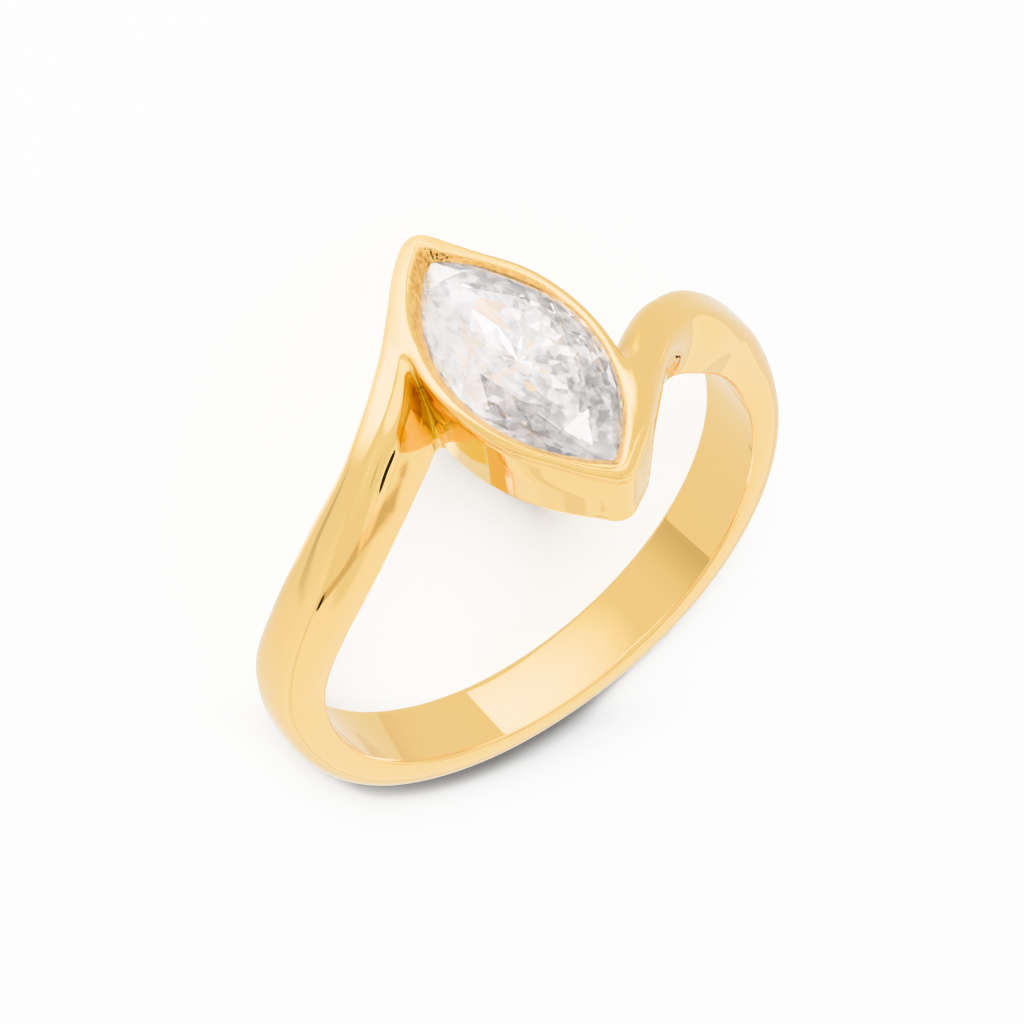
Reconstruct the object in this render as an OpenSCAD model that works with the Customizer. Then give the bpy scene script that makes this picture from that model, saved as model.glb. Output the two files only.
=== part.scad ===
// Navette ring: a marquise stone in a rubbed-over bezel between two bypass arms.
// The ring is drawn upright round the finger hole, with X across the finger, Y along it
// and Z up to the stone, and is then laid on its side, as it rests on a table.
// Angles round the band start at the bottom and rise on the -X side.

/* [Finger hole] */
// Inside diameter of the ring
bore_d = 17; // [16:0.25:18.5]

/* [Band] */
// Width along the finger at the bottom of the band
band_w = 2.5; // [2.2:0.1:3]
// Thickness at the bottom of the band
band_t = 1.6; // [1.3:0.05:1.9]
// Straight edge beside the finger hole, before the outside curves over
band_edge = 0.12; // [0.08:0.02:0.3]
// How far the stone and its arms lean to the front
head_lean = 0.7; // [0.3:0.05:1]

/* [Stone] */
// Length over the two points
stone_l = 10; // [9:0.1:11]
// Width across the middle
stone_w = 5; // [4.6:0.1:5.4]
// Thickness of the girdle
girdle_t = 0.15; // [0.1:0.01:0.2]
// Height of the crown above the girdle
crown_h = 0.6; // [0.4:0.05:0.8]
// Depth of the pavilion below the girdle
pavilion_h = 1.65; // [1.3:0.05:1.7]
// Table size as a share of the stone's length and width
table_share = 0.6; // [0.5:0.01:0.7]

/* [Bezel] */
// Height of the girdle above the top of the finger hole
girdle_rise = 1.9; // [1.85:0.05:2.3]
// Height of the rim above the girdle
rim_rise = 0.55; // [0.5:0.05:0.8]
// Wall outside the girdle at the long sides
side_wall = 0.35; // [0.3:0.05:0.6]
// Wall outside the girdle at the two points
tip_wall = 0.7; // [0.5:0.05:1]
// Radius of the bezel's rounded points, seen from above
tip_r = 0.7; // [0.5:0.05:0.9]
// Rounding along the outside of the rim
rim_r = 0.45; // [0.3:0.05:0.5]
// How much narrower the bezel is where it meets the finger hole
foot_taper = 0.2; // [0:0.05:0.3]
// How far the lip laps over the stone at its sides
lip_lap = 0.18; // [0.12:0.02:0.25]
// Width of the ledge that carries the stone
seat_ledge = 0.6; // [0.4:0.05:0.8]
// Clearance between the stone and the metal
stone_gap = 0.05; // [0.03:0.01:0.08]
// Offset of the bezel from the middle of the band
bezel_side = 0.1; // [0:0.05:0.2]
// Offset of the stone inside its bezel along the finger
stone_off = 0.08; // [0:0.02:0.1]

/* [Hidden] */

bore_r = bore_d / 2;
girdle_z = bore_r + girdle_rise;
rim_z = girdle_z + rim_rise;
rim_h = girdle_rise + rim_rise;

// Half sizes, seen from above
stone_half = [stone_w / 2, stone_l / 2];
bezel_half = stone_half + [side_wall, tip_wall];

// Smoothness: arcs per outline and stations round the band
outline_n = 48;
dome_n = 14;

// The left arm from the bottom of the band up to the far point of the bezel: angle in degrees,
// centre as a share of the bezel's half length, width as a share of the band's width, height as a
// share of the way from the band's thickness to the rim, and squareness of the dome
ARM = [
    [0, 0, 1, 0, 2.8],
    [50, 0.01, 1.05, 0.04, 2.8],
    [90, 0, 1.1, 0, 2.6],
    [110, -0.04, 1.06, 0.05, 2.6],
    [125, -0.035, 1, 0.25, 2.6],
    [135, 0, 0.95, 0.55, 2.6],
    [145, 0.05, 0.8, 0.95, 2.6],
    [151, 0.115, 0.8, 1.13, 2.6],
    [157, 0.21, 0.88, 1.2, 2.7],
    [163, 0.37, 0.98, 1.1, 2.8],
    [168, 0.56, 0.78, 1.05, 3],
    [173, 0.76, 0.54, 1, 3.2],
    [180, 0.9, 0.32, 0.95, 3.3]
];
ARM_COLUMNS = ["angle", "centre", "width", "height", "squareness"];

// Stations round the whole band, closer together along the two arms
arm_angles = [for (a = [0:6:114]) a, for (a = [120:3:180]) a];
station_angles = [
    for (i = [len(arm_angles) - 1:-1:0]) arm_angles[i],
    for (i = [1:len(arm_angles) - 1]) -arm_angles[i]
];

// Smooth curve through one column of a table, level at its first row
function row_at(t, x, i = 0) = i >= len(t) - 2 || x <= t[i + 1][0] ? i : row_at(t, x, i + 1);
function slope_at(t, c, i) =
    i == 0 ? 0 :
    i == len(t) - 1 ? (t[i][c] - t[i - 1][c]) / (t[i][0] - t[i - 1][0]) :
    (t[i + 1][c] - t[i - 1][c]) / (t[i + 1][0] - t[i - 1][0]);
function curve(t, c, x) =
    let (
        i = row_at(t, x),
        w = t[i + 1][0] - t[i][0],
        u = (x - t[i][0]) / w,
        a = t[i][c],
        b = t[i + 1][c],
        m = slope_at(t, c, i) * w,
        n = slope_at(t, c, i + 1) * w
    )
    a + u * (m + u * (3 * (b - a) - 2 * m - n + u * (2 * (a - b) + m + n)));
function arm(column, angle) = curve(ARM, search([column], ARM_COLUMNS)[0], angle);

function ease(u) = let (v = min(max(u, 0), 1)) v * v * (3 - 2 * v);

// Lean of a point: none at the finger's axis, full from the top of the finger hole up
function leaned(p) = [p[0], p[1] - head_lean * ease(p[2] / bore_r), p[2]];

// Section through the band at one angle, from the front edge over the dome to the back edge
// and back inside the finger hole, for the -X side; the +X side is the same half turned over
function section(angle) =
    let (
        a = abs(angle),
        side = angle < 0 ? -1 : 1,
        mid = arm("centre", a) * bezel_half[1],
        half = arm("width", a) * band_w / 2,
        t = band_t + arm("height", a) * (rim_h - band_t),
        ex = 2 / arm("squareness", a),
        dip = band_t / 4,
        dome = [
            for (j = [0:dome_n])
                let (w = 180 * j / dome_n, c = -cos(w), s = max(sin(w), 0))
                [mid + half * sign(c) * pow(abs(c), ex), band_edge + (t - band_edge) * pow(s, ex)]
        ],
        ring = concat([[mid - half, -dip]], dome, [[mid + half, -dip]])
    )
    [
        for (q = side > 0 ? ring : [for (j = [len(ring) - 1:-1:0]) ring[j]])
            let (r = bore_r + q[1])
            leaned([-side * r * sin(a), side * q[0], -r * cos(a)])
    ];

// Marquise outline of two arcs with rounded points, counter-clockwise from the front point
function marquise(half, r_tip, n = outline_n) =
    let (
        b = half[0] - r_tip,
        a = half[1] - r_tip,
        arc_r = (a * a + b * b) / (2 * b),
        reach = asin(a / arc_r),
        side_n = n * 3 / 8,
        tip_n = n / 8,
        one_side = [
            for (i = [0:side_n - 1])
                let (w = reach * (2 * (i + 0.5) / side_n - 1))
                [(arc_r + r_tip) * cos(w) - (arc_r - b), (arc_r + r_tip) * sin(w)],
            for (i = [0:tip_n - 1])
                let (w = reach + (180 - 2 * reach) * (i + 0.5) / tip_n)
                [r_tip * cos(w), a + r_tip * sin(w)]
        ]
    )
    concat(one_side, -one_side);

// Solid through a stack of outlines with the same number of points each
module loft(layers) {
    n = len(layers[0]);
    k = len(layers);
    polyhedron(
        points = [for (layer = layers, p = layer) p],
        faces = concat(
            [[for (i = [0:n - 1]) i]],
            [[for (i = [n - 1:-1:0]) (k - 1) * n + i]],
            [
                for (j = [0:k - 2], i = [0:n - 1])
                    let (m = (i + 1) % n)
                    each [
                        [j * n + i, (j + 1) * n + m, j * n + m],
                        [j * n + i, (j + 1) * n + i, (j + 1) * n + m]
                    ]
            ]
        )
    );
}

function layer(outline, z, at) = [for (p = outline) leaned([at[0] + p[0], at[1] + p[1], z])];

bezel_at = [-bezel_side, 0];
stone_at = [0, -stone_off];

band_sections = [for (a = station_angles) section(a)];

// Outside of the bezel, from below the finger hole's top up to the rounded rim
foot_z = bore_r - rim_h / 2;
bezel_foot = marquise(bezel_half - [foot_taper, foot_taper], tip_r);
bezel_layers = concat(
    [layer(bezel_foot, foot_z, bezel_at)],
    [
        for (w = [0, 30, 60, 90])
            let (inset = rim_r * (1 - cos(w)))
            layer(
                marquise(bezel_half - [inset, inset], tip_r - inset),
                rim_z - rim_r * (1 - sin(w)), bezel_at
            )
    ]
);

// The space in the bezel: the funnel above the lip, the groove round the girdle and the
// opening under the stone
module stone_pocket() {
    lap = [lip_lap, lip_lap * 2];
    groove = stone_half + [stone_gap, stone_gap * 2];
    rim = marquise(stone_half + [0, lip_lap / 2], lip_lap);
    lip = marquise(stone_half - lap, lip_lap);
    seat = marquise(stone_half - [seat_ledge, seat_ledge], lip_lap);
    side_slope = crown_h / (stone_w / 2 * (1 - table_share));
    half_facets = 1.3;
    lip_z = girdle_z + girdle_t / 2 + lip_lap * half_facets * side_slope + 2 * stone_gap;
    ledge_drop = seat_ledge * pavilion_h / (stone_w / 2);
    loft([
        layer(seat, foot_z - foot_taper, bezel_at),
        layer(seat, girdle_z - girdle_t / 2 - ledge_drop - stone_gap, stone_at),
        layer(marquise(groove, stone_gap), girdle_z - girdle_t / 2 - stone_gap, stone_at),
        layer(marquise(groove, stone_gap), girdle_z + girdle_t / 2 + stone_gap, stone_at),
        layer(lip, lip_z, stone_at),
        layer(rim, rim_z - rim_r / 4, bezel_at),
        layer(marquise(stone_half + [rim_r / 3, rim_r / 3], lip_lap), rim_z + rim_r / 4, bezel_at)
    ]);
}

module finger_hole() {
    rotate([90, 0, 0]) cylinder(h = 2 * stone_l, r = bore_r, center = true, $fn = 180);
}

module ring_upright() {
    difference() {
        union() {
            loft(band_sections);
            loft(bezel_layers);
        }
        stone_pocket();
        finger_hole();
    }
}

// The stone's girdle, seen from above: girdle_n corners from the +Y point round by -X, with a
// main facet at every fourth corner
girdle_n = 32;
mains = girdle_n / 4;
girdle_arc = (pow(stone_half[1], 2) + pow(stone_half[0], 2)) / (2 * stone_half[0]);
girdle_reach = asin(stone_half[1] / girdle_arc);

function girdle_turn(k) = girdle_reach * (1 - 4 * (k % (girdle_n / 2)) / girdle_n);
function girdle_side(k) = k % girdle_n < girdle_n / 2 ? 1 : -1;
function girdle_point(k) =
    let (w = girdle_turn(k))
    girdle_side(k) * [girdle_arc - stone_half[0] - girdle_arc * cos(w), girdle_arc * sin(w)];
function girdle_normal(k) =
    k % (girdle_n / 2) == 0 ? girdle_side(k) * [0, 1] :
    girdle_side(k) * [-cos(girdle_turn(k)), sin(girdle_turn(k))];

// Where the planes of two neighbouring main facets cross, at a share of the way from the
// girdle to the table or the culet, whose size is a share of the girdle's
function facet_corner(i, share, inner) =
    let (
        m = girdle_normal(4 * i),
        n = girdle_normal(4 * i + 4),
        reach = 1 - share * (1 - inner),
        c = girdle_point(4 * i) * m * reach,
        d = girdle_point(4 * i + 4) * n * reach,
        det = m[0] * n[1] - m[1] * n[0]
    )
    [(c * n[1] - d * m[1]) / det, (m[0] * d - n[0] * c) / det];

module stone_upright() {
    top_z = girdle_z + girdle_t / 2;
    low_z = girdle_z - girdle_t / 2;
    star_share = 0.55;
    pavilion_share = 0.72;
    crown_z = top_z + star_share * crown_h;
    half_z = low_z - pavilion_share * pavilion_h;
    corners = [for (i = [0:mains - 1]) i];
    table = [for (i = corners) concat(table_share * girdle_point(4 * i), top_z + crown_h)];
    crown = [for (i = corners) concat(facet_corner(i, star_share, table_share), crown_z)];
    upper = [for (k = [0:girdle_n - 1]) concat(girdle_point(k), top_z)];
    lower = [for (k = [0:girdle_n - 1]) concat(girdle_point(k), low_z)];
    halves = [for (i = corners) concat(facet_corner(i, pavilion_share, 0), half_z)];
    culet = [[0, 0, low_z - pavilion_h]];
    at_crown = mains;
    at_upper = 2 * mains;
    at_lower = at_upper + girdle_n;
    at_halves = at_lower + girdle_n;
    at_culet = at_halves + mains;
    polyhedron(
        points = [
            for (p = concat(table, crown, upper, lower, halves, culet))
                leaned([stone_at[0] + p[0], stone_at[1] + p[1], p[2]])
        ],
        faces = concat(
            [[for (i = [mains - 1:-1:0]) i]],
            [
                for (i = corners)
                    let (next = (i + 1) % mains, last = (i + mains - 1) % mains, k = 4 * i)
                    each [
                        [i, at_crown + i, at_upper + k],
                        [i, at_upper + k, at_crown + last],
                        [i, next, at_crown + i],
                        [at_lower + k, at_halves + i, at_culet],
                        [at_lower + k, at_culet, at_halves + last]
                    ]
            ],
            [
                for (k = [0:girdle_n - 1])
                    let (i = floor(k / 4), next = (k + 1) % girdle_n)
                    each [
                        [at_crown + i, at_upper + next, at_upper + k],
                        [at_upper + k, at_upper + next, at_lower + next],
                        [at_upper + k, at_lower + next, at_lower + k],
                        [at_halves + i, at_lower + k, at_lower + next]
                    ]
            ]
        )
    );
}

// The ring lies on its back, on the foot of the bezel's far point and the back edge of the band
far_foot = [bezel_half[1] - head_lean - foot_taper / 2, bore_r];
band_back = [band_w / 2, -bore_r - band_t / 3];
rest_tilt = atan((far_foot[0] - band_back[0]) / (far_foot[1] - band_back[1]));

function laid(p) = [
    -p[0],
    -p[1] * sin(rest_tilt) - p[2] * cos(rest_tilt),
    -p[1] * cos(rest_tilt) + p[2] * sin(rest_tilt)
];

// Outermost points of the metal as it lies, for the middle and the height of its box
metal_points = [
    for (s = concat(band_sections, bezel_layers), p = s) if (norm([p[0], p[2]]) > bore_r) laid(p),
    laid([0, far_foot[0], far_foot[1]])
];
function low(c) = min([for (p = metal_points) p[c]]);
function high(c) = max([for (p = metal_points) p[c]]);

module laid_down() {
    translate([-(low(0) + high(0)) / 2, -(low(1) + high(1)) / 2, -low(2)])
        rotate([rest_tilt - 90, 0, 180])
            children();
}

module ring_body() {
    color("gold") laid_down() ring_upright();
}

module stone() {
    color("white") laid_down() stone_upright();
}

ring_body();
stone();
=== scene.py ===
# Yellow gold bypass ring with a bezel-set marquise stone, lying on a pale table.
# Sizes are in millimetres and angles in degrees until a mesh is made.
import math
import bpy
import numpy as np
import openvdb
from mathutils import Matrix, Vector


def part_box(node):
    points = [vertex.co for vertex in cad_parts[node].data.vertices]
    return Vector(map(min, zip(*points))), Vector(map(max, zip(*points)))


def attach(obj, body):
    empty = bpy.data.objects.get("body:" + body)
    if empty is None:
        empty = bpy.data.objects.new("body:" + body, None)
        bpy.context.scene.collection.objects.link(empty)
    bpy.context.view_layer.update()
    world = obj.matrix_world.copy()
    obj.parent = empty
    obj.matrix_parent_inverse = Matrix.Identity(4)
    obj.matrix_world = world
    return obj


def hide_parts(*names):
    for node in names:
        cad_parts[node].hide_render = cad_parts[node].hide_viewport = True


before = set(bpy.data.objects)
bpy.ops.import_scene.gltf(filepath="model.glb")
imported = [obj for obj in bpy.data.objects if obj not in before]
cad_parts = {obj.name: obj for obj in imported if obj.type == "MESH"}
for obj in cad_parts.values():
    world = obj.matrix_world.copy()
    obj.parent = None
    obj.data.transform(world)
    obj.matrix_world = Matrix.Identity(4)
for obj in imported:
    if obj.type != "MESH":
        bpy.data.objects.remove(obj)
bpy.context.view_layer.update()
mm = 0.001
print("frame:", len(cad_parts), "solids")

# The ring is shaped upright round its finger hole: x across the finger, y along it, z up to the
# stone. These are the sizes of the solids.
ringSizes = {
    "boreRadius": 8.5,
    "bandWidth": 2.5,
    "bandThickness": 1.6,
    "bandEdge": 0.12,
    "headLean": 0.7,
    "stoneHalf": (2.5, 5.0),
    "girdleRise": 1.9,
    "girdleThickness": 0.15,
    "crownHeight": 0.6,
    "tableShare": 0.6,
    "rimRise": 0.55,
    "sideWall": 0.35,
    "tipWall": 0.7,
    "tipRadius": 0.7,
    "footTaper": 0.2,
    "bezelSide": 0.1,
    "stoneOff": 0.08,
}

s = ringSizes
girdleZ = s["boreRadius"] + s["girdleRise"]
rimZ = girdleZ + s["rimRise"]
rimHeight = s["girdleRise"] + s["rimRise"]
bezelHalf = (s["stoneHalf"][0] + s["sideWall"], s["stoneHalf"][1] + s["tipWall"])

# One arm from the bottom of the band up to the bezel's far point: angle, centre as a share of the
# bezel's half length, width as a share of the band's, height as a share of the way from the band's
# thickness to the rim, and squareness of the dome
armTable = [
    (0, 0, 1, 0, 2.8),
    (50, 0.01, 1.05, 0.04, 2.8),
    (90, 0, 1.1, 0, 2.6),
    (110, -0.04, 1.06, 0.05, 2.6),
    (125, -0.035, 1, 0.25, 3.3),
    (135, 0, 0.95, 0.55, 3.3),
    (145, 0.05, 0.8, 0.95, 3.3),
    (151, 0.115, 0.8, 1.13, 3.3),
    (157, 0.21, 0.88, 1.2, 3.3),
    (163, 0.37, 0.98, 1.1, 2.8),
    (168, 0.56, 0.78, 1.05, 3),
    (173, 0.76, 0.52, 0.96, 3.2),
    (180, 0.89, 0.28, 0.9, 3.3),
]

# Edges, fillets and the turned-over rim as the goldsmith left them. A pair says where a soft
# change starts and where it is complete.
metalFinish = {
    "boreRounding": 0.16,
    "pocketRounding": 0.05,
    "pocketTip": 0.14,
    "pocketSteepest": 3,
    "lipRounding": 0.1,
    "lipHeights": (-0.5, -0.2),  # from the rim
    "creviceFillet": 0.07,
    "webFillet": 0.6,
    "webHeights": (9.9, 8.7),
    "mergeFillet": 0.6,
    "mergeLength": (0.6, 2.4),
    "filletHeights": (0, 2),
    "thinnestFillet": 0.0001,
    "armPastTip": 0.3,
    "armEndRounding": 0.7,
    "armLift": (-0.2, -0.03),  # the far arm's and the near one's
    "liftStart": (35, 75),
    "liftEnd": (134, 162),
    "rimRound": 0.26,
    "farSideLower": 0.24,
    "farSideWidth": (-0.6, 2),
    "grooveDepth": 0.035,
    "grooveWidth": 0.085,
    "tipSlimming": 0.13,
    "slimMiddle": 4.1,
    "slimLength": 0.95,
    "slimHeights": (-1.1, 0),  # from the rim's shoulder
}

# The stone's pocket from its hole up to the rim: height over the girdle's middle, half width, half
# length, and the place of its middle. The lip stands a little inside the crown.
pocketTable = [
    (-2.9, 1.9, 4.4, 0, 0),
    (-0.52, 1.9, 4.4, 0, -0.08),
    (-0.12, 2.54, 5.04, 0, -0.08),
    (0.06, 2.54, 5.04, 0, -0.08),
    (0.09, 2.36, 4.72, 0, -0.1),
    (0.13, 2.37, 4.73, 0, -0.1),
    (0.24, 2.39, 4.79, 0, -0.1),
    (0.47, 2.49, 5.02, -0.11, -0.12),
    (0.65, 2.62, 5.2, -0.11, -0.12),
]


def ramp(value, start, end):
    return np.clip((value - start) / (end - start), 0, 1)


def ease(value, start, end):  # 0 at the start and 1 at the end, soft at both
    u = ramp(value, start, end)
    return u * u * (3 - 2 * u)


def smoothMin(a, b, k):
    h = np.clip(0.5 + 0.5 * (b - a) / k, 0, 1)
    return b + (a - b) * h - k * h * (1 - h)


def smoothMax(a, b, k):
    return -smoothMin(-a, -b, k)


def tableCurve(column, angle):  # smooth through one column of the arm's table
    rows = np.array(armTable, float)
    x, y = rows[:, 0], rows[:, column]
    slope = np.zeros(len(x))  # level at its first row
    slope[1:-1] = (y[2:] - y[:-2]) / (x[2:] - x[:-2])
    slope[-1] = (y[-1] - y[-2]) / (x[-1] - x[-2])
    i = np.clip(np.searchsorted(x, angle) - 1, 0, len(x) - 2)
    w = x[i + 1] - x[i]
    u = np.clip((angle - x[i]) / w, 0, 1)
    a, b, m, n = y[i], y[i + 1], slope[i] * w, slope[i + 1] * w
    return a + u * (m + u * (3 * (b - a) - 2 * m - n + u * (2 * (a - b) + m + n)))


fineAngles = np.linspace(0, 180, 1801)
fineColumns = [tableCurve(c, fineAngles) for c in range(1, 5)]


def armField(angle, across, radius, lift):  # distance outside one arm's dome
    f = metalFinish
    angle = np.clip(angle, 0, 180)
    centre, width, height, square = (np.interp(angle, fineAngles, c) for c in fineColumns)
    half = width * s["bandWidth"] / 2
    base = s["boreRadius"] + s["bandEdge"]
    top = s["bandThickness"] + height * (rimHeight - s["bandThickness"]) - s["bandEdge"]
    top = top + lift * ease(angle, *f["liftStart"]) * (1 - ease(angle, *f["liftEnd"]))
    u = np.abs(across - centre * bezelHalf[1]) / half
    v = np.maximum(radius - base, 0) / top
    g = np.maximum((u ** square + v ** square) ** (1 / square), 1e-6)
    slope = np.hypot((u / g) ** (square - 1) / half, (v / g) ** (square - 1) / top)
    return (g - 1) / np.maximum(slope, 1e-6)


def navetteField(x, y, halfX, halfY, tip):  # distance outside a marquise with rounded points
    b, a = halfX - tip, halfY - tip
    arc = (a * a + b * b) / (2 * b)
    off = arc - b
    px, py = np.abs(x), np.abs(y)
    atPoint = (py - a) * off > px * a
    return np.where(atPoint, np.hypot(px, py - a), np.hypot(px + off, py) - arc) - tip


def shoulderAt(x):  # height where the rim starts to turn over, lower on the far side
    f = metalFinish
    return rimZ - f["rimRound"] - f["farSideLower"] * ease(x, *f["farSideWidth"])


def bezelField(x, y, z):
    f = metalFinish
    shoulder = shoulderAt(x)
    foot = s["boreRadius"] - rimHeight / 2
    taper = s["footTaper"] * ramp(z, shoulder, foot)
    groove = f["grooveDepth"] * np.exp(-((z - shoulder + f["grooveWidth"]) / f["grooveWidth"]) ** 2)
    slim = f["tipSlimming"] * np.exp(-((np.abs(y) - f["slimMiddle"]) / f["slimLength"]) ** 2)
    slim = slim * ease(z - shoulder, *f["slimHeights"])
    wall = navetteField(x + s["bezelSide"], y, *bezelHalf, s["tipRadius"]) + taper + groove + slim
    u = wall + f["rimRound"]
    v = z - shoulder
    outside = np.hypot(np.maximum(u, 0), np.maximum(v, 0))
    cup = outside + np.minimum(np.maximum(u, v), 0) - f["rimRound"]
    return np.maximum(cup, foot - z)


def pocketField(x, y, z):
    f = metalFinish
    rows = np.array(pocketTable)
    heights = girdleZ + rows[:, 0]
    halfX, halfY, atX, atY = (np.interp(z, heights, rows[:, c]) for c in range(1, 5))
    flat = navetteField(x - atX, y - atY, halfX, halfY, f["pocketTip"])
    lean = np.interp(z, heights[1:] - 1e-6, np.diff(rows[:, 1]) / np.diff(heights))
    lean = np.clip(lean, -f["pocketSteepest"], f["pocketSteepest"])
    return np.maximum(flat / np.sqrt(1 + lean ** 2), heights[0] - z)


def oneArm(side, x, y, z):  # side -1 rises to the far point, side 1 to the near one
    f = metalFinish
    angle = np.degrees(np.arctan2(side * x, -z))
    angle = np.where(angle < -90, angle + 360, angle)
    arm = armField(angle, -side * y, np.hypot(x, z), f["armLift"][(side + 1) // 2])
    past = -side * x - f["armPastTip"]
    return np.where(z > 0, smoothMax(arm, past, f["armEndRounding"]), np.maximum(arm, past))


def outerField(x, y, z):  # the bezel and both arms, with a web in each crevice
    f = metalFinish
    web = f["creviceFillet"] + f["webFillet"] * ease(z, *f["webHeights"])
    solid = bezelField(x, y, z)
    for side in (-1, 1):
        merge = np.maximum(f["mergeFillet"] - web, 0) * ease(-side * y, *f["mergeLength"])
        fillet = (web + merge) * ease(z, *f["filletHeights"])
        fillet = np.maximum(fillet, f["thinnestFillet"])
        solid = smoothMin(solid, oneArm(side, x, y, z), fillet)
    return solid


def metalField(x, y, z):
    f = metalFinish
    rounding = f["pocketRounding"] + f["lipRounding"] * ease(z - rimZ, *f["lipHeights"])
    solid = smoothMax(outerField(x, y, z), -pocketField(x, y, z), rounding)
    return smoothMax(solid, s["boreRadius"] - np.hypot(x, z), f["boreRounding"])


def leanOf(z):  # how far the head leans to the front at a height
    return s["headLean"] * ease(z, 0, s["boreRadius"])


def leanSlope(z):
    u = ramp(z, 0, s["boreRadius"])
    return s["headLean"] * 6 * u * (1 - u) / s["boreRadius"]


# The grid that the metal's surface is taken from, each row as from, to and step, and how its
# points then settle on the surface
meshSteps = {
    "bandAngle": 1.2,
    "headAngle": 0.42,
    "headFrom": (116, 128),
    "across": (-5.95, 5.96, 0.075),
    "boreRadii": (8.3, 8.85, 0.05),
    "wallRadii": (8.85, 11.6, 0.07),
    "overlap": 5,
    "weldCells": 40,
    "weldOffset": 0.37,
    "passes": 4,
    "longestMove": 0.06,
    "gentlestSlope": 0.1,
    "probe": 0.003,
}


def gridAngles():  # angles round the ring from its foot, close together at the head
    m = meshSteps
    angles = [0.0]
    while angles[-1] < 360:
        towards = ease(min(angles[-1], 360 - angles[-1]), *m["headFrom"])
        angles.append(angles[-1] + m["bandAngle"] + (m["headAngle"] - m["bandAngle"]) * towards)
    return np.array(angles) * 360 / angles[-1]


def gridMesh():  # points and quads of one full turn, still in grid steps
    m = meshSteps
    angles = gridAngles()
    turn = len(angles) - 1
    wrapped = np.concatenate([angles[:-1], angles[:m["overlap"]] + 360])
    across = np.arange(*m["across"])
    radii = np.concatenate([np.arange(*m["boreRadii"]), np.arange(*m["wallRadii"])])
    a, y, r = np.meshgrid(np.radians(wrapped), across, radii, indexing="ij")
    values = metalField(-r * np.sin(a), y, -r * np.cos(a))
    grid = openvdb.FloatGrid()
    grid.copyFromArray(values.astype(np.float32))
    points, quads = grid.convertToQuads(isovalue=0.0)
    points = points.astype(float)
    steps = points[quads][:, :, 0]
    keep = (steps.max(1) < turn + 1.5) & (steps.min(1) >= 0.5)
    return points, quads[keep], turn, (wrapped, across, radii)


def weld(points, quads, turn):  # joins the ends of the wrapped grid and drops unused points
    m = meshSteps
    moved = points.copy()
    moved[points[:, 0] >= turn + 0.5, 0] -= turn
    keys = np.floor(moved * m["weldCells"] + m["weldOffset"]).astype(np.int64)
    _, index, inverse = np.unique(keys, axis=0, return_index=True, return_inverse=True)
    points, quads = moved[index], inverse.reshape(-1)[quads]
    used = np.unique(quads)
    order = np.full(len(points), -1)
    order[used] = np.arange(len(used))
    return points[used], order[quads]


def onGrid(points, axes):  # from grid steps to places on the upright ring
    a, y, r = (np.interp(points[:, i], np.arange(len(axis)), axis) for i, axis in enumerate(axes))
    a = np.radians(a)
    return np.stack([-r * np.sin(a), y, -r * np.cos(a)], 1)


def fieldSlope(p):
    e = meshSteps["probe"]
    return np.stack([
        metalField(*(p + np.eye(3)[i] * e).T) - metalField(*(p - np.eye(3)[i] * e).T)
        for i in range(3)
    ], 1) / (2 * e)


def settle(p):  # moves points onto the surface and gives the outward normals there
    m = meshSteps
    for _ in range(m["passes"]):
        g = fieldSlope(p)
        move = metalField(*p.T) / np.maximum((g * g).sum(1), m["gentlestSlope"])
        p = p - np.clip(move, -m["longestMove"], m["longestMove"])[:, None] * g
    g = fieldSlope(p)
    return p, g / np.linalg.norm(g, axis=1)[:, None]


def metalSurface():  # places without and with the head's lean, quads and normals
    points, quads, turn, axes = gridMesh()
    points, quads = weld(points, quads, turn)
    straight, normals = settle(onGrid(points, axes))
    corner = straight[quads]
    faceNormal = np.cross(corner[:, 2] - corner[:, 0], corner[:, 3] - corner[:, 1])
    if (faceNormal * normals[quads].mean(1)).sum() < 0:
        quads = quads[:, ::-1]
    leaning = straight.copy()
    leaning[:, 1] -= leanOf(straight[:, 2])
    normals[:, 2] += leanSlope(straight[:, 2]) * normals[:, 1]
    normals /= np.linalg.norm(normals, axis=1)[:, None]
    return straight, leaning, quads, normals


# Where the gold looks different: the pocket, darkened with painted shade, with dark pits painted at
# its rough far tip; a painted deeper yellow reflection and painted shade where arm and bezel join;
# a painted dark shade line in the left crevice; painted shade in the groove below the rim; and the
# painted deep yellow reflection of the left arm on the bezel's wall. A pair says where a mark
# starts and where it is full.
surfaceMarks = {
    "pocketWall": (0.048, 0.018),
    "pocketFoot": -0.5,  # from the girdle
    "farTipLength": (4.05, 4.55),
    "farTipWidth": (-0.25, 0.15),
    "creviceReflectionWidth": 0.6,
    "creviceReflectionLength": (-1.9, -1.1),
    "creviceShadeWall": (0.075, 0.025),
    "creviceShadeLength": (1.4, 0.9),
    "creviceShadeHeights": (9.75, 10.1),
    "skin": 0.02,
    "grooveShare": 0.6,
    "grooveSkin": 0.04,
    "grooveFromArm": 0.06,
    "sweepFoot": 8.95,
    "sweepRise": 0.35,
    "sweepRiseLength": (-1.9, -2.8),
    "sweepEdge": 0.08,
    "sweepStart": (-2.75, -2.55),
    "sweepEnd": (-0.35, -0.65),
    "sweepSide": -1.5,
    "sweepSkin": 0.25,
    "sweepTop": (-0.12, -0.18),  # from the rim's shoulder
}


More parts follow.
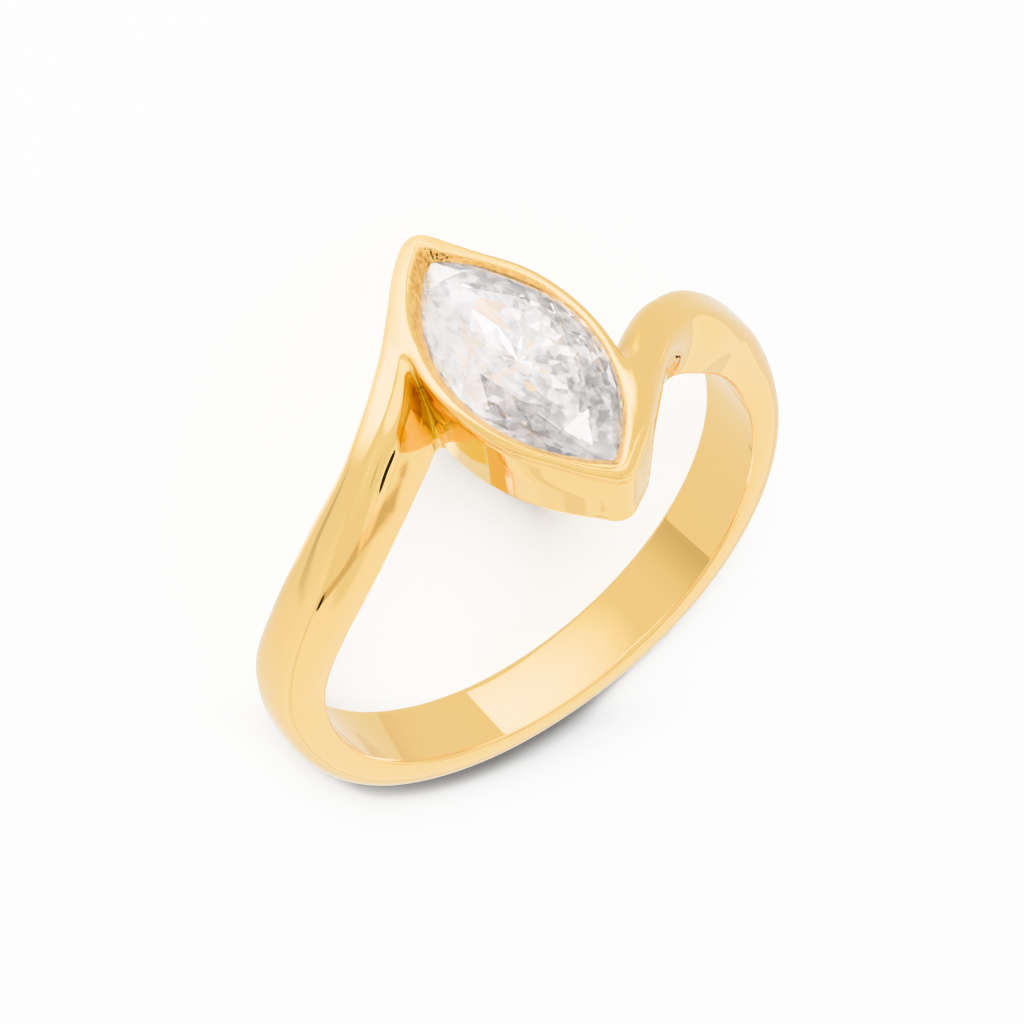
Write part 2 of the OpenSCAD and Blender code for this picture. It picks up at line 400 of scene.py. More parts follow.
def surfaceMasks(p):
    m = surfaceMarks
    x, y, z = p.T
    bezel = bezelField(x, y, z)
    outer = outerField(x, y, z)
    arms = {side: oneArm(side, x, y, z) for side in (-1, 1)}
    shoulder = shoulderAt(x)
    # painted shade: the pocket's darker colour stands for the shade inside it
    pocket = ramp(pocketField(x, y, z), *m["pocketWall"])
    pocket = pocket * (z > girdleZ + m["pocketFoot"]) * (outer < -m["skin"])
    farTip = pocket * ease(y, *m["farTipLength"]) * ease(x, *m["farTipWidth"])
    # painted reflection of the arm's gold in the bezel, with painted shade, where arm and bezel
    # join
    creviceReflection = sum(
        np.exp(-((bezel - arm) / m["creviceReflectionWidth"]) ** 2) * ease(side * y, *m["creviceReflectionLength"])
        for side, arm in arms.items()
    )
    creviceReflection = np.clip(creviceReflection, 0, 1) * (z > s["boreRadius"])
    # painted shade: a dark line along the left crevice
    creviceShadeLine = ramp(np.abs(bezel - arms[-1]), *m["creviceShadeWall"]) * ease(y, *m["creviceShadeLength"])
    creviceShadeLine = creviceShadeLine * ease(z, *m["creviceShadeHeights"]) * (outer > -m["skin"])
    # painted shade in the groove below the rim
    width = metalFinish["grooveWidth"]
    groove = np.exp(-((z - shoulder + width) / (m["grooveShare"] * width)) ** 2)
    groove = groove * (np.abs(bezel) < m["grooveSkin"])
    groove = groove * (np.minimum(arms[-1], arms[1]) > m["grooveFromArm"])
    # painted reflection: the deep yellow of the left arm mirrored on the bezel's wall
    placed = y - leanOf(z)
    low = m["sweepFoot"] + m["sweepRise"] * ease(placed, *m["sweepRiseLength"])
    armReflection = ease(z, low, low + m["sweepEdge"]) * ease(placed, *m["sweepStart"])
    armReflection = armReflection * ease(y, *m["sweepEnd"]) * ease(z - shoulder, *m["sweepTop"])
    armReflection = armReflection * (x < m["sweepSide"]) * (np.abs(bezel) < m["sweepSkin"])
    return {"pocket": pocket, "farTip": farTip, "creviceReflection": creviceReflection, "creviceShadeLine": creviceShadeLine, "groove": groove,
            "armReflection": armReflection}


# From upright to lying on its back, on the foot of the bezel's far point and the band's back edge
farFoot = (bezelHalf[1] - s["headLean"] - s["footTaper"] / 2, s["boreRadius"])
bandBack = (s["bandWidth"] / 2, -s["boreRadius"] - s["bandThickness"] / 3)
restTilt = math.atan((farFoot[0] - bandBack[0]) / (farFoot[1] - bandBack[1]))
turnDown = np.array([
    [-1, 0, 0],
    [0, -math.sin(restTilt), -math.cos(restTilt)],
    [0, -math.cos(restTilt), math.sin(restTilt)],
])


def findShift():  # the stone's table reaches furthest to the front, its far point lies lowest
    low, high = (np.array(corner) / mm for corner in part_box("stone"))
    behind = -s["stoneOff"] - s["headLean"]
    tableTop = girdleZ + s["girdleThickness"] / 2 + s["crownHeight"]
    tableEdge = np.array([0, behind + s["stoneHalf"][1] * s["tableShare"], tableTop])
    farPoint = np.array([0, behind + s["stoneHalf"][1], girdleZ - s["girdleThickness"] / 2])
    return np.array([
        (low[0] + high[0]) / 2,
        low[1] - (turnDown @ tableEdge)[1],
        low[2] - (turnDown @ farPoint)[2],
    ])


restShift = findShift()
print("rest: turned", round(math.degrees(restTilt), 2), "degrees, moved", restShift.round(3))


def laidDown(points):
    return points @ turnDown.T + restShift


def addObject(name, data):
    thing = bpy.data.objects.new(name, data)
    bpy.context.scene.collection.objects.link(thing)
    return thing


def addMesh(name, points, faces):
    mesh = bpy.data.meshes.new(name)
    mesh.from_pydata(points, [], faces)
    return mesh


def addMaterial(name):
    material = bpy.data.materials.new(name)
    material.use_nodes = True
    return material, material.node_tree, material.node_tree.nodes["Principled BSDF"]


def addNode(tree, kind, **values):
    node = tree.nodes.new(kind)
    for key, value in values.items():
        setattr(node, key, value)
    return node


def feed(tree, source, target):  # the source is another node's output, or a value
    if isinstance(source, bpy.types.NodeSocket):
        tree.links.new(source, target)
    else:
        target.default_value = source


def calculate(tree, operation, a, b, clamp=False):
    node = addNode(tree, "ShaderNodeMath", operation=operation, use_clamp=clamp)
    feed(tree, a, node.inputs[0])
    feed(tree, b, node.inputs[1])
    return node.outputs[0]


def between(tree, value, low, high, lowTo=0.0, highTo=1.0):  # soft step from one level to another
    node = addNode(tree, "ShaderNodeMapRange", interpolation_type="SMOOTHSTEP")
    feed(tree, value, node.inputs["Value"])
    names = ("From Min", "From Max", "To Min", "To Max")
    for name, number in zip(names, (low, high, lowTo, highTo)):
        node.inputs[name].default_value = number
    return node.outputs["Result"]


def blendColour(tree, factor, a, b):  # a where the factor is 0, b where it is 1
    node = addNode(tree, "ShaderNodeMix", data_type="RGBA")
    feed(tree, factor, node.inputs[0])
    for socket, value in ((node.inputs[6], a), (node.inputs[7], b)):
        feed(tree, (*value, 1) if isinstance(value, tuple) else value, socket)
    return node.outputs[2]


def blendLevel(tree, factor, a, b):
    node = addNode(tree, "ShaderNodeMix", data_type="FLOAT")
    for socket, value in zip((node.inputs[0], node.inputs[2], node.inputs[3]), (factor, a, b)):
        feed(tree, value, socket)
    return node.outputs[0]


def stretched(tree, place, scale, rotation=(0, 0, 0)):
    node = addNode(tree, "ShaderNodeMapping")
    feed(tree, place, node.inputs["Vector"])
    node.inputs["Scale"].default_value = scale
    node.inputs["Rotation"].default_value = rotation
    return node.outputs["Vector"]


def noise(tree, place, scale, detail):
    node = addNode(tree, "ShaderNodeTexNoise")
    feed(tree, place, node.inputs["Vector"])
    feed(tree, scale, node.inputs["Scale"])
    node.inputs["Detail"].default_value = detail
    return node.outputs["Fac"]


def awayFrom(tree, place, centre, size, turn=0):  # distance from an ellipse's middle, 1 at its edge
    shape = addNode(tree, "ShaderNodeMapping", vector_type="TEXTURE")
    shape.inputs["Location"].default_value = centre
    shape.inputs["Rotation"].default_value = (0, 0, math.radians(turn))
    shape.inputs["Scale"].default_value = size
    feed(tree, place, shape.inputs["Vector"])
    far = addNode(tree, "ShaderNodeVectorMath", operation="LENGTH")
    feed(tree, shape.outputs[0], far.inputs[0])
    return far.outputs["Value"]


def towards(tree, place, direction):
    node = addNode(tree, "ShaderNodeVectorMath", operation="DOT_PRODUCT")
    feed(tree, place, node.inputs[0])
    node.inputs[1].default_value = direction
    return node.outputs["Value"]


def objectPlace(tree):
    return addNode(tree, "ShaderNodeTexCoord").outputs["Object"]


def maskOf(tree, name):
    return addNode(tree, "ShaderNodeAttribute", attribute_name=name).outputs["Fac"]


# Fine scratches and soft unevenness of a polished surface
polishMarks = {
    "scratchScale": 900,
    "scratchDetail": 3,
    "scratchStretch": (1, 7, 1),
    "scratchTurn": (0.3, 0.5, 0.4),
    "scratchLevels": (0.56, 0.74),
    "scratchShare": 0.4,
    "scratchDepth": 0.08,
    "patchScale": 320,
    "patchDetail": 2,
    "patchLevels": (0.35, 0.7),
    "patchShare": 0.6,
}


def makePolishGroup():
    p = polishMarks
    group = bpy.data.node_groups.new("polishMarks", "ShaderNodeTree")
    face = group.interface
    defaults = {"Scratch Scale": p["scratchScale"], "Smooth": 0.03, "Rough": 0.08}
    for name, default in defaults.items():
        socket = face.new_socket(name, in_out="INPUT", socket_type="NodeSocketFloat")
        socket.default_value = default
    for name in ("Roughness", "Height", "Patches"):
        face.new_socket(name, in_out="OUTPUT", socket_type="NodeSocketFloat")
    start = addNode(group, "NodeGroupInput")
    end = addNode(group, "NodeGroupOutput")
    place = objectPlace(group)
    along = stretched(group, place, p["scratchStretch"], p["scratchTurn"])
    scratches = noise(group, along, start.outputs["Scratch Scale"], p["scratchDetail"])
    scratches = between(group, scratches, *p["scratchLevels"])
    patches = noise(group, place, p["patchScale"], p["patchDetail"])
    level = between(group, patches, *p["patchLevels"])
    level = calculate(group, "MULTIPLY", level, p["patchShare"])
    scratched = calculate(group, "MULTIPLY", scratches, p["scratchShare"])
    level = calculate(group, "ADD", level, scratched, clamp=True)
    span = calculate(group, "SUBTRACT", start.outputs["Rough"], start.outputs["Smooth"])
    span = calculate(group, "MULTIPLY", level, span)
    rough = calculate(group, "ADD", span, start.outputs["Smooth"])
    feed(group, rough, end.inputs["Roughness"])
    cut = calculate(group, "MULTIPLY", scratches, p["scratchDepth"])
    feed(group, calculate(group, "SUBTRACT", patches, cut), end.inputs["Height"])
    feed(group, patches, end.inputs["Patches"])
    return group


polishGroup = makePolishGroup()
print("polish: node group made")


def addPolish(tree, smooth, rough):
    marks = addNode(tree, "ShaderNodeGroup", node_tree=polishGroup)
    marks.inputs["Smooth"].default_value = smooth
    marks.inputs["Rough"].default_value = rough
    return marks.outputs


goldFinish = {
    "colour": (1.0, 0.69, 0.265),
    # painted reflection with painted shade where arm and bezel join
    "creviceReflectionColour": (0.70, 0.41, 0.05),
    # painted reflection of the left arm on the bezel's wall
    "armReflectionColour": (0.95, 0.53, 0.02),
    # painted shade line in the left crevice
    "creviceShadeColour": (0.10, 0.06, 0.02),
    # painted shade in the groove below the rim
    "grooveShadeColour": (0.80, 0.50, 0.17),
    # painted shade in the pocket, lighter along the tool marks
    "pocketShadeColour": (0.62, 0.36, 0.11),
    "pocketShadeStreakColour": (0.87, 0.58, 0.23),
    "pitColour": (0.07, 0.04, 0.015),
    "smooth": 0.035,
    "rough": 0.075,
    "pocketRough": 0.33,
    "coat": 0.5,
    "coatIor": 1.55,
    "unevenness": 0.05,
    "unevenDepth": 0.0001,
    "grainScale": 9000,
    "grainDetail": 4,
    "pitLevels": (0.52, 0.6),
    "pits": 0.5,
    "pitDepth": 0.00006,
    "toolScale": 8000,
    "toolDetail": 2,
    "toolStretch": (1, 1, 0.16),
    "toolLevels": (0.4, 0.62),
    "creviceShadeBreaks": (0.35, 0.5, 0.4, 1),
}


def makeGold():
    g = goldFinish
    material, tree, shader = addMaterial("polishedGold")
    marks = addPolish(tree, g["smooth"], g["rough"])
    masks = ("pocket", "farTip", "creviceReflection", "armReflection", "creviceShadeLine", "groove")
    pocket, farTip, creviceReflection, armReflection, creviceShadeLine, groove = (maskOf(tree, name) for name in masks)
    place = objectPlace(tree)
    grain = noise(tree, place, g["grainScale"], g["grainDetail"])
    tools = noise(tree, stretched(tree, place, g["toolStretch"]), g["toolScale"], g["toolDetail"])
    tools = between(tree, tools, *g["toolLevels"])
    # painted shade in the pocket, lighter along the tool marks
    seat = blendColour(tree, tools, g["pocketShadeColour"], g["pocketShadeStreakColour"])
    pits = calculate(tree, "MULTIPLY", farTip, between(tree, grain, *g["pitLevels"]))
    seat = blendColour(tree, pits, seat, g["pitColour"])
    # the painted crevice shade line is broken by the patches
    breaks = between(tree, marks["Patches"], *g["creviceShadeBreaks"])
    creviceShadeLine = calculate(tree, "MULTIPLY", creviceShadeLine, breaks)
    colour = g["colour"]
    # painted reflections and painted shade laid over the gold's own colour
    layers = ((creviceReflection, g["creviceReflectionColour"]), (armReflection, g["armReflectionColour"]), (creviceShadeLine, g["creviceShadeColour"]),
              (groove, g["grooveShadeColour"]), (pocket, seat))
    for mask, layer in layers:
        colour = blendColour(tree, mask, colour, layer)
    feed(tree, colour, shader.inputs["Base Color"])
    rough = calculate(tree, "MULTIPLY", pocket, g["pocketRough"])
    rough = calculate(tree, "ADD", marks["Roughness"], rough)
    feed(tree, rough, shader.inputs["Roughness"])
    shader.inputs["Metallic"].default_value = 1
    bare = calculate(tree, "ADD", creviceReflection, armReflection, clamp=True)
    coated = calculate(tree, "SUBTRACT", 1, bare)
    feed(tree, calculate(tree, "MULTIPLY", coated, g["coat"]), shader.inputs["Coat Weight"])
    shader.inputs["Coat IOR"].default_value = g["coatIor"]
    shader.inputs["Coat Roughness"].default_value = g["smooth"]
    soft = addNode(tree, "ShaderNodeBump")
    soft.inputs["Strength"].default_value = g["unevenness"]
    soft.inputs["Distance"].default_value = g["unevenDepth"]
    feed(tree, marks["Height"], soft.inputs["Height"])
    pitted = addNode(tree, "ShaderNodeBump")
    pitted.inputs["Distance"].default_value = g["pitDepth"]
    feed(tree, calculate(tree, "MULTIPLY", pocket, g["pits"]), pitted.inputs["Strength"])
    feed(tree, grain, pitted.inputs["Height"])
    feed(tree, soft.outputs["Normal"], pitted.inputs["Normal"])
    feed(tree, pitted.outputs["Normal"], shader.inputs["Normal"])
    return material


def makeRing():
    straight, leaning, quads, normals = metalSurface()
    mesh = addMesh("ringMetal", (laidDown(leaning) * mm).tolist(), quads.tolist())
    mesh.validate()
    mesh.polygons.foreach_set("use_smooth", [True] * len(mesh.polygons))
    mesh.normals_split_custom_set_from_vertices((normals @ turnDown.T).tolist())
    for name, values in surfaceMasks(straight).items():
        layer = mesh.attributes.new(name, "FLOAT", "POINT")
        layer.data.foreach_set("value", values.astype(np.float32))
    mesh.materials.append(makeGold())
    metal = addObject("ringMetal", mesh)
    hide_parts("ring_body")
    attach(metal, "root")
    print("metal:", len(quads), "quads")


makeRing()

stoneFinish = {
    "ior": 1.52,
    "smooth": 0.0,
    "rough": 0.03,
}


def dressStone():
    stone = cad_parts["stone"]
    material, tree, shader = addMaterial("clearStone")
    marks = addPolish(tree, stoneFinish["smooth"], stoneFinish["rough"])
    feed(tree, marks["Roughness"], shader.inputs["Roughness"])
    shader.inputs["Base Color"].default_value = (1, 1, 1, 1)
    shader.inputs["IOR"].default_value = stoneFinish["ior"]
    shader.inputs["Transmission Weight"].default_value = 1
    stone.data.materials.clear()
    stone.data.materials.append(material)
    for polygon in stone.data.polygons:
        polygon.use_smooth = False
    print("stone:", len(stone.data.polygons), "faces")


dressStone()

# The pavilion's mirror facets inside the stone, which send light back through the crown partly as
# mirrors and partly by a painted glow of their own. Each facet's brightness, a white star and a few
# warm facets are painted highlights and painted reflections of the gold. They stand in rings from
# the culet out to the girdle, each cut into sectors.
fireCut = {
    "sectors": 22,
    "rings": (0.0, 0.17, 0.34, 0.5, 0.64, 0.77, 0.89, 1.0),
    "depth": 1.25,
    "belowGirdle": 0.1,
    "bowl": 0.85,
    "culet": (0.15, 0.42),
    "half": (2.43, 4.9),
    "outline": 1.35,  # 1 is a lozenge, 2 an ellipse
    "spread": 0.2,
    "tilt": 0.06,
    "seed": 7,
    # painted light: the facets glow though no lamp is in them
    "glow": 1.6,
    "rough": (0.04, 0.2),
    "metallic": 0.92,
    # painted facet tints, grey, bright white and warm, which are also given off as light
    "grey": (0.143, 0.138, 0.138),
    "white": (0.287, 0.279, 0.276),
    "warm": (0.335, 0.245, 0.175),
    "whiteSectors": ((0, 2), (11, 13)),
    "whiteRings": (0, 1, 2, 3),
    "whiteShades": (0.85, 1),
    "warmSectors": (4,),
    "warmRings": (2, 3),
    "warmShare": 0.5,
    "shades": (0.35, 0.95),
    "splinterScale": 3600,
    "splinterStretch": (1.6, 0.7, 1),
    "splinterTurn": (0.2, 0.4, 0.6),
    "splinters": 0.85,
}


def firePoints(chance):
    c = fireCut
    middle = np.array([c["culet"][0], c["culet"][1] - s["stoneOff"]])
    power = c["outline"]
    points, rows = [], []
    for k, share in enumerate(c["rings"]):
        count = c["sectors"] if k else 1
        rows.append(range(len(points), len(points) + count))
        for i in range(count):
            step = i + 0.5 * (k % 2) + chance.uniform(-0.5, 0.5) * c["spread"]
            turn = 2 * math.pi * step / count
            tip = np.array([math.cos(turn), math.sin(turn)])
            reach = sum(abs(tip[n] / c["half"][n]) ** power for n in (0, 1)) ** (-1 / power)
            outer = tip * reach + [0, -s["stoneOff"]]
            at = middle + (outer - middle) * share
            drop = c["depth"] * (1 - share) ** c["bowl"]
            if 0 < share < 1:
                drop += chance.uniform(-1, 1) * c["tilt"]
            points.append((at[0], at[1], girdleZ - c["belowGirdle"] - drop))
    points = np.array(points)
    points[:, 1] -= leanOf(points[:, 2])
    return points, rows


def fireFaces(rows, chance):  # facets, with each one's painted brightness and painted warm reflection
    c = fireCut
    faces, shades, warmReflections = [], [], []
    for k, (a, b) in enumerate(zip(rows, rows[1:])):
        for i in range(c["sectors"]):
            j = (i + 1) % c["sectors"]
            if k == 0:
                added = [(a[0], b[i], b[j])]
            elif k % 2:
                added = [(a[i], b[i], b[j]), (a[i], b[j], a[j])]
            else:
                added = [(a[i], b[i], a[j]), (a[j], b[i], b[j])]
            # painted highlights: a white star of bright facets, and warm facets standing for
            # reflected gold
            white = k in c["whiteRings"] and any(m <= i <= n for m, n in c["whiteSectors"])
            warm = k in c["warmRings"] and i in c["warmSectors"]
            for face in added:
                faces.append(face)
                shades.append(chance.uniform(*(c["whiteShades"] if white else c["shades"])))
                warmReflections.append(c["warmShare"] if warm else 0.0)
    return faces, shades, warmReflections


def makeMirrorGlow():
    c = fireCut
    material, tree, mirror = addMaterial("mirrorGlowFacets")
    marks = addPolish(tree, *c["rough"])
    feed(tree, marks["Roughness"], mirror.inputs["Roughness"])
    # painted sparkle: splintered brightness across the glowing facets
    splinters = addNode(tree, "ShaderNodeTexVoronoi")
    splinters.inputs["Scale"].default_value = c["splinterScale"]
    along = stretched(tree, objectPlace(tree), c["splinterStretch"], c["splinterTurn"])
    feed(tree, along, splinters.inputs["Vector"])
    split = addNode(tree, "ShaderNodeSeparateColor")
    feed(tree, splinters.outputs["Color"], split.inputs[0])
    broken = calculate(tree, "SUBTRACT", split.outputs["Red"], 0.5)
    broken = calculate(tree, "MULTIPLY", broken, c["splinters"])
    shade = calculate(tree, "ADD", maskOf(tree, "shade"), broken, clamp=True)
    tint = blendColour(tree, shade, c["grey"], c["white"])
    tint = blendColour(tree, maskOf(tree, "warmReflection"), tint, c["warm"])
    feed(tree, tint, mirror.inputs["Base Color"])
    # painted light: the facets give off their own light in the same tint
    feed(tree, tint, mirror.inputs["Emission Color"])
    mirror.inputs["Metallic"].default_value = c["metallic"]
    mirror.inputs["Emission Strength"].default_value = c["glow"]
    return material


def makeFire():
    chance = np.random.RandomState(fireCut["seed"])
    points, rows = firePoints(chance)
    faces, shades, warmReflections = fireFaces(rows, chance)
    mesh = addMesh("stoneFire", (laidDown(points) * mm).tolist(), faces)
    for name, values in (("shade", shades), ("warmReflection", warmReflections)):
        mesh.attributes.new(name, "FLOAT", "FACE").data.foreach_set("value", values)
    mesh.materials.append(makeMirrorGlow())
    fire = addObject("stoneFire", mesh)
    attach(fire, "root")
    print("stone fire:", len(faces), "facets")


makeFire()

# The photograph's angle to the ring: turned and raised from the stone's side, then rolled. The
# distance is from the finger hole's middle, and the focal length and centre are in image points.
cameraView = {
    "azimuth": -31.93,
    "elevation": 54.7,
    "roll": -4.34,
    "distance": 129.8,
    "focal": 4000,
    "centre": (520.9, 543.6),
    "image": 1024,
    "sensor": 36,
    "clip": (0.01, 10),
}


def makeCamera():
    v = cameraView
    az, el, roll = (math.radians(v[name]) for name in ("azimuth", "elevation", "roll"))
    back = np.array([math.sin(az) * math.cos(el), -math.cos(az) * math.cos(el), math.sin(el)])
    right = np.cross(-back, [0, 0, 1])
    right /= np.linalg.norm(right)
    up = np.cross(right, -back)
    right, up = (math.cos(roll) * right + math.sin(roll) * up,
                 math.cos(roll) * up - math.sin(roll) * right)
    data = bpy.data.cameras.new("camera")
    camera = addObject("camera", data)
    bpy.context.scene.camera = camera
    place = laidDown(back * v["distance"]) * mm
    columns = [turnDown @ axis for axis in (right, up, back)] + [place]
    camera.matrix_world = Matrix([[c[i] for c in columns] for i in range(3)] + [[0, 0, 0, 1]])
    data.sensor_width = v["sensor"]
    data.lens = v["focal"] / v["image"] * v["sensor"]
    data.shift_x = (v["image"] / 2 - v["centre"][0]) / v["image"]
    data.shift_y = (v["centre"][1] - v["image"] / 2) / v["image"]
    data.clip_start, data.clip_end = v["clip"]
    print("camera:", round(place[2], 4), "m above the table")


makeCamera()

# The table, in metres. The camera sees an even pale cloth with a painted soft shadow beside the
# ring, and the gold mirrors a glowing sweep with painted pools of light and one painted dark pool:
# middle, half sizes, turn and strength of each.
tableFinish = {
    "half": 2.0,
    "seen": 0.5,
    "patchShade": 0.985,
    "roughness": 0.7,
    "specular": 0.1,
    "glow": 1.0,
    "pools": (
        ((0.0045, -0.024), (0.0125, 0.014), 0, 7.0),
        ((0.004, -0.0047), (0.0055, 0.0042), 0, 4.0),
        ((-0.009, -0.03), (0.006, 0.007), 0, 1.2),
        ((0.03, 0.008), (0.02, 0.02), 0, 0.4),
        ((0.035, 0.045), (0.035, 0.04), 0, 0.35),
        # a painted dark pool: the ring's shadow as the gold mirrors it
        ((0.0136, -0.0066), (0.0056, 0.001), 58, -0.34),
    ),
    "poolEdge": (0.6, 1.15),
    # painted shadow beside the ring: middle, half size and turn of its ellipse, where it fades in
    # and out, the side it lies towards, and its darkest tone
    "shadeMiddle": (0, 0.003),
    "shadeHalf": (0.016, 0.011),
    "shadeTurn": 126.9,
    "shadeInner": (0.5, 0.62),
    "shadeOuter": (0.78, 1.04),
    "shadeTowards": (0.603, 0.798, 0),
    "shadeFrom": (0.0072, 0.0098),
    "darkest": 0.2,
}


def makeCloth(tree, shader):  # what the camera sees, with a painted shadow beside the ring
    t = tableFinish
    place = objectPlace(tree)
    # painted shadow: a soft dark crescent on the cloth beside the ring
    far = awayFrom(tree, place, (*t["shadeMiddle"], 0), (*t["shadeHalf"], 1), t["shadeTurn"])
    side = towards(tree, place, t["shadeTowards"])
    depth = calculate(tree, "MULTIPLY", between(tree, far, *t["shadeOuter"], 1, 0),
                      between(tree, far, *t["shadeInner"]))
    depth = calculate(tree, "MULTIPLY", depth, between(tree, side, *t["shadeFrom"]))
    patches = addNode(tree, "ShaderNodeGroup", node_tree=polishGroup).outputs["Patches"]
    seen = (t["seen"],) * 3
    cloth = blendColour(tree, patches, tuple(v * t["patchShade"] for v in seen), seen)
    cloth = blendColour(tree, depth, cloth, (t["darkest"],) * 3)
    feed(tree, cloth, shader.inputs["Base Color"])
    shader.inputs["Roughness"].default_value = t["roughness"]
    shader.inputs["Specular IOR Level"].default_value = t["specular"]


def makeSweep(tree):  # what the ring reflects: the table glows by itself, brighter in painted pools of light and darker in one painted dark pool
    t = tableFinish
    place = objectPlace(tree)
    level = t["glow"]
    for centre, size, turn, strength in t["pools"]:
        far = awayFrom(tree, place, (*centre, 0), (*size, 1), turn)
        pool = calculate(tree, "MULTIPLY", between(tree, far, *t["poolEdge"], 1, 0), strength)
        level = calculate(tree, "ADD", pool, level)
    glow = addNode(tree, "ShaderNodeEmission")
    feed(tree, level, glow.inputs["Strength"])
    return glow.outputs[0]


def mixShaders(tree, factor, a, b):  # a where the factor is 0, b where it is 1
    pick = addNode(tree, "ShaderNodeMixShader")
    for socket, value in zip(pick.inputs, (factor, a, b)):
        feed(tree, value, socket)
    feed(tree, pick.outputs[0], tree.nodes["Material Output"].inputs["Surface"])


def makeFloor():
    w = tableFinish["half"]
    mesh = addMesh("floor", [(-w, -w, 0), (w, -w, 0), (w, w, 0), (-w, w, 0)], [(0, 1, 2, 3)])
    material, tree, shader = addMaterial("paleTable")
    makeCloth(tree, shader)
    seen = addNode(tree, "ShaderNodeLightPath").outputs["Is Camera Ray"]
    mixShaders(tree, seen, makeSweep(tree), shader.outputs[0])
    mesh.materials.append(material)
    addObject("floor", mesh)
    print("floor:", len(tableFinish["pools"]), "pools of light")


makeFloor()

# Small cards in front of the band's inside, out of the camera's sight, that the gold mirrors, in
# metres. Each stands on the table between two corners, leans out at its top, and is densest at one
# place and fades from there, both as shares of its length and height.
reflectorCards = {
    "softLight": {
        "corners": ((0.0013, 0.00795), (-0.004, 0.00775)),
        "lean": (0, 0.0007),
        "height": 0.0029,
        "colour": (1, 1, 1),
        "strength": 7.0,
        "densest": (0.93, 0.5),
        "fade": (0.95, 1.1),
    },
    "greyRight": {
        "corners": ((-0.0057, 0.00557), (-0.0039, 0.007)),
        "lean": (-0.00013, 0.0005),
        "height": 0.0034,
        "colour": (1, 0.92, 0.84),
        "strength": 0.72,
        "densest": (0, 0.5),
        "fade": (0.85, 5),
    },
    "greyLeft": {
        "corners": ((0.00452, 0.007), (0.0024, 0.0079)),
        "lean": (0.0008, 0.0002),
        "height": 0.003,
        "colour": (1, 0.92, 0.84),
        "strength": 0.85,
        "densest": (1, 0.5),
        "fade": (0.9, 5),
    },
}
cardFade = {
    "edge": (0.1, 1),
    "thickness": 50,  # keeps the fade the same through the card
}


def makeCard(name):
    c = reflectorCards[name]
    (startX, startY), (endX, endY) = c["corners"]
    leanX, leanY = c["lean"]
    points = [(startX, startY, 0), (endX, endY, 0), (endX, endY + leanY, c["height"]),
              (startX + leanX, startY + leanY, c["height"])]
    mesh = addMesh(name, points, [(0, 1, 2, 3)])
    material, tree, _ = addMaterial(name)
    place = addNode(tree, "ShaderNodeTexCoord").outputs["Generated"]
    far = awayFrom(tree, place, (c["densest"][0], 0, c["densest"][1]),
                   (c["fade"][0], cardFade["thickness"], c["fade"][1]))
    glow = addNode(tree, "ShaderNodeEmission")
    glow.inputs["Color"].default_value = (*c["colour"], 1)
    glow.inputs["Strength"].default_value = c["strength"]
    clear = addNode(tree, "ShaderNodeBsdfTransparent")
    dense = between(tree, far, *cardFade["edge"], 1, 0)
    mixShaders(tree, dense, clear.outputs[0], glow.outputs[0])
    mesh.materials.append(material)
    card = addObject(name, mesh)
    for sight in ("camera", "diffuse", "shadow", "transmission"):
        setattr(card, "visible_" + sight, False)


for cardName in reflectorCards:
    makeCard(cardName)
print("cards:", ", ".join(reflectorCards))

# Surroundings: a pale room, brighter at the horizon behind, with a darker warm arch, bright panels
# and two black flags. Directions point away from the ring. A pair is where a change starts and is
# complete: along y or z, as the cosine of an angle for a panel, and in degrees for the arch.
roomLight = {
    "front": 1.12,
    "side": 1.0,
    "back": 1.0,
    "horizon": 1.6,
    "sideFrom": (-0.45, -0.15),
    "backFrom": (0.22, 0.26),
    "horizonTop": (0.55, 0.75),
    "archAxis": (0.313, 0.946, 0.083),
    "archInner": (55, 58),
    "archOuter": (67, 63),
    "archAbove": (0.4, 0, 1),
    "archFrom": (0.12, 0.22),
    "archLevel": 0.74,
    "archTint": (1, 0.88, 0.74),
    "panels": (
        ((-0.33, -0.93, 0.15), (0.72, 0.86), 3.6),
        ((0.63, -0.67, 0.37), (0.982, 0.9945), 1.4),
        ((-0.39, 0.36, 0.85), (0.96, 0.985), 1.9),
        ((-0.158, 0.34, 0.927), (0.97, 0.99), 1.45),
        ((0.146, -0.253, 0.956), (0.988, 0.996), 0.72),
    ),
    "flags": (((-0.42, 0.295, 0.857), 5.5), ((0.973, 0.207, 0.105), 4.5)),
    "flagEdge": (1.2, 0.8),
    "flagLevel": 0.03,
}


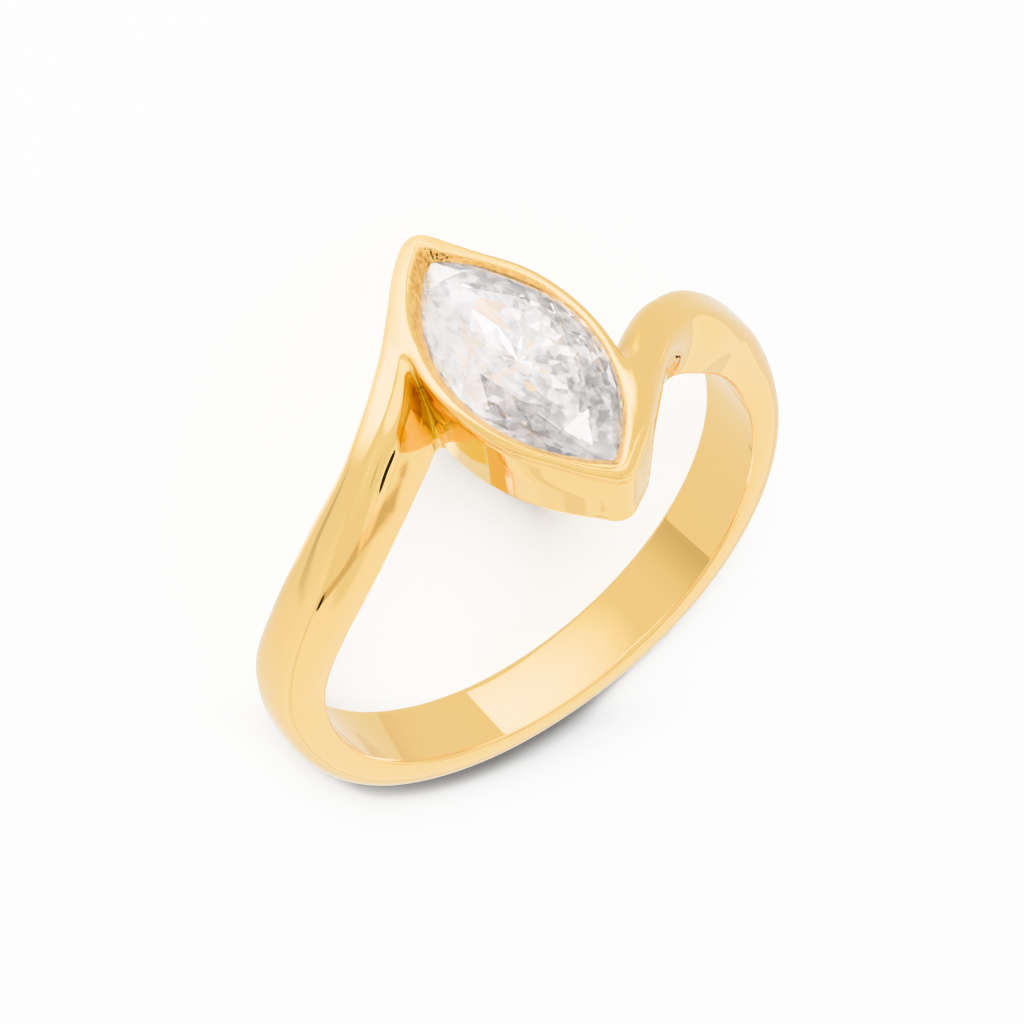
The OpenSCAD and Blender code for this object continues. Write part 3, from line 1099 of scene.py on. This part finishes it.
def makeRoom():
    r = roomLight
    world = bpy.data.worlds.new("studio")
    bpy.context.scene.world = world
    world.use_nodes = True
    tree = world.node_tree
    background = tree.nodes["Background"]
    way = addNode(tree, "ShaderNodeTexCoord").outputs["Generated"]
    axes = addNode(tree, "ShaderNodeSeparateXYZ")
    feed(tree, way, axes.inputs[0])

    def facing(direction):  # cosine of the angle to a direction
        return towards(tree, way, Vector(direction).normalized())

    def cosines(angles):
        return [math.cos(math.radians(angle)) for angle in angles]

    behind = between(tree, axes.outputs["Z"], *r["horizonTop"])
    behind = blendLevel(tree, behind, r["horizon"], r["back"])
    level = between(tree, axes.outputs["Y"], *r["sideFrom"])
    level = blendLevel(tree, level, r["front"], r["side"])
    level = blendLevel(tree, between(tree, axes.outputs["Y"], *r["backFrom"]), level, behind)
    across = facing(r["archAxis"])
    full, none = reversed(cosines(r["archInner"]))
    arch = calculate(tree, "MULTIPLY", between(tree, across, *cosines(r["archOuter"])),
                     between(tree, across, full, none, 1, 0))
    above = between(tree, facing(r["archAbove"]), *r["archFrom"])
    arch = calculate(tree, "MULTIPLY", arch, above)
    level = blendLevel(tree, arch, level, r["archLevel"])
    feed(tree, blendColour(tree, arch, (1, 1, 1), r["archTint"]), background.inputs["Color"])
    for direction, edge, strength in r["panels"]:
        level = blendLevel(tree, between(tree, facing(direction), *edge), level, strength)
    for direction, size in r["flags"]:
        edge = cosines(size * share for share in r["flagEdge"])
        level = blendLevel(tree, between(tree, facing(direction), *edge), level, r["flagLevel"])
    feed(tree, level, background.inputs["Strength"])
    print("room:", len(r["panels"]), "panels,", len(r["flags"]), "flags")


makeRoom()

# The main lamp, in metres and watts, which the gold doesn't mirror
keyLight = {
    "towards": (0.198, -0.916, 0.462),
    "distance": 0.3,
    "size": 0.14,
    "power": 20.0,
}


def makeKey():
    k = keyLight
    data = bpy.data.lights.new("keyLight", "AREA")
    data.size = k["size"]
    data.energy = k["power"]
    light = addObject("keyLight", data)
    light.location = Vector(k["towards"]).normalized() * k["distance"]
    light.rotation_euler = Vector(k["towards"]).to_track_quat("Z", "Y").to_euler()
    light.visible_glossy = False
    print("key light:", k["power"], "W")


makeKey()

bpy.context.scene.view_settings.view_transform = "Khronos PBR Neutral"
bpy.context.scene.view_settings.look = "None"
